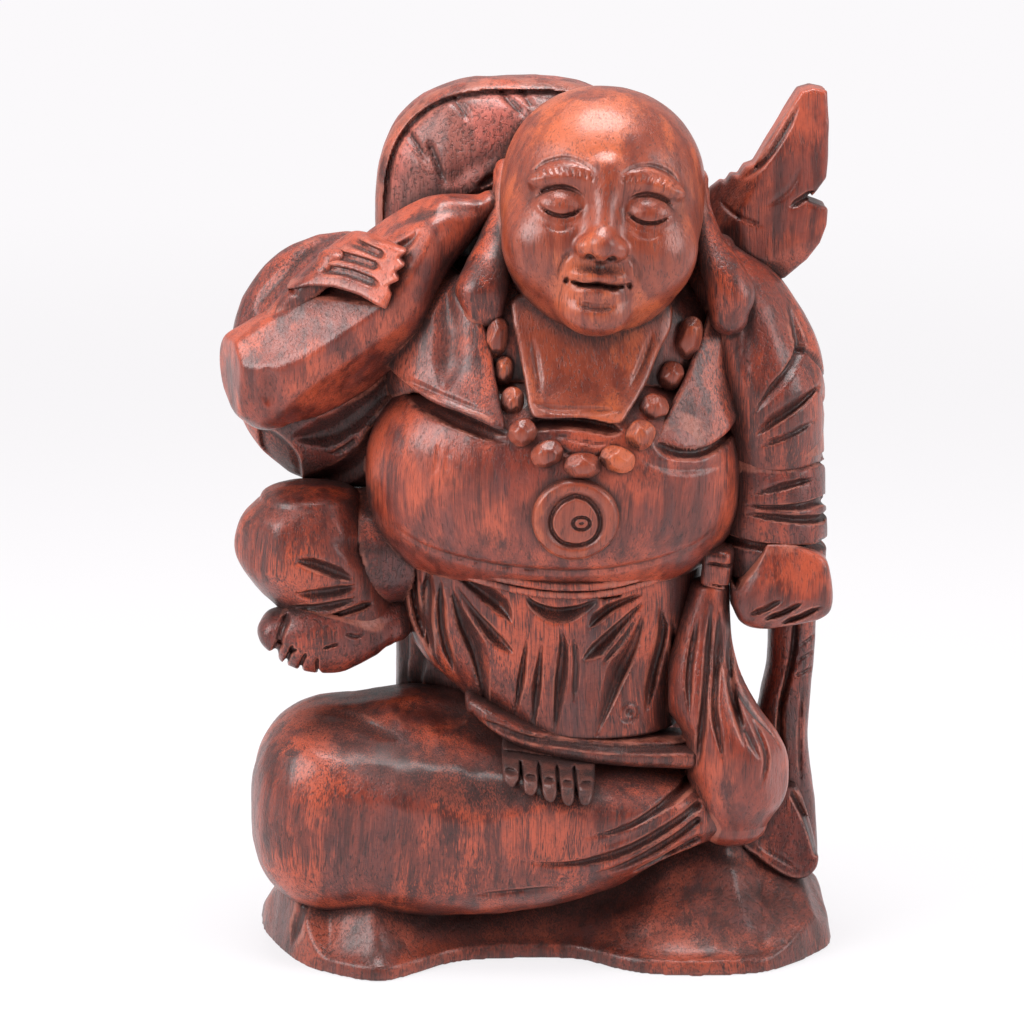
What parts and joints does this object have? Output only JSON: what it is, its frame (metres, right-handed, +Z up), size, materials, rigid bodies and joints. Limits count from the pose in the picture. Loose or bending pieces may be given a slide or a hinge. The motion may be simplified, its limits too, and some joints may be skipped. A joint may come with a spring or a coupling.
{
  "type": "carved wooden statue",
  "caption": "Hand-carved hardwood statue of a robed seated monk with one leg folded, a sack over the shoulder, a pouch and a staff; it stands on its flat base.",
  "frame": {"origin": "centre of the base's footprint, on the underside", "axes": "+Z up, the figure looks along -Y, its right hand is at -X"},
  "size_m": [0.2121, 0.1188, 0.298],
  "materials": {
    "wood_robe": "satin",
    "wood_shaded": "satin",
    "wood_polished": "satin",
    "wood_bright": "satin",
    "wood_body": "satin"
  },
  "bodies": {
    "root": {"base": "wood_robe", "back_robe": "wood_robe", "sack": "wood_robe", "resting_foot": "wood_robe", "belt_upper": "wood_robe", "belt_lower": "wood_robe", "right_sleeve": "wood_robe", "raised_thigh": "wood_robe", "raised_foot": "wood_robe", "left_sleeve": "wood_robe", "staff": "wood_robe", "tassel": "wood_robe", "crossed_shin": "wood_shaded", "belly": "wood_polished", "right_upper_arm": "wood_polished", "right_hand": "wood_polished", "left_fist": "wood_polished", "pouch": "wood_polished", "staff_head": "wood_polished", "medallion": "wood_polished", "head": "wood_bright", "bead_1": "wood_bright", "bead_2": "wood_bright", "bead_3": "wood_bright", "bead_4": "wood_bright", "bead_5": "wood_bright", "bead_6": "wood_bright", "bead_7": "wood_bright", "bead_8": "wood_bright", "bead_9": "wood_bright", "bead_10": "wood_bright", "bead_11": "wood_bright", "folded_leg": "wood_body", "skirt": "wood_body", "chest": "wood_body", "right_ear": "wood_body", "left_ear": "wood_body", "neckline_panel": "wood_body", "right_lapel": "wood_body", "left_lapel": "wood_body", "right_forearm": "wood_body", "raised_shin": "wood_body", "left_shoulder": "wood_body", "pouch_tie": "wood_body", "sack_hem": "wood_body"}
  },
  "joints": []
}
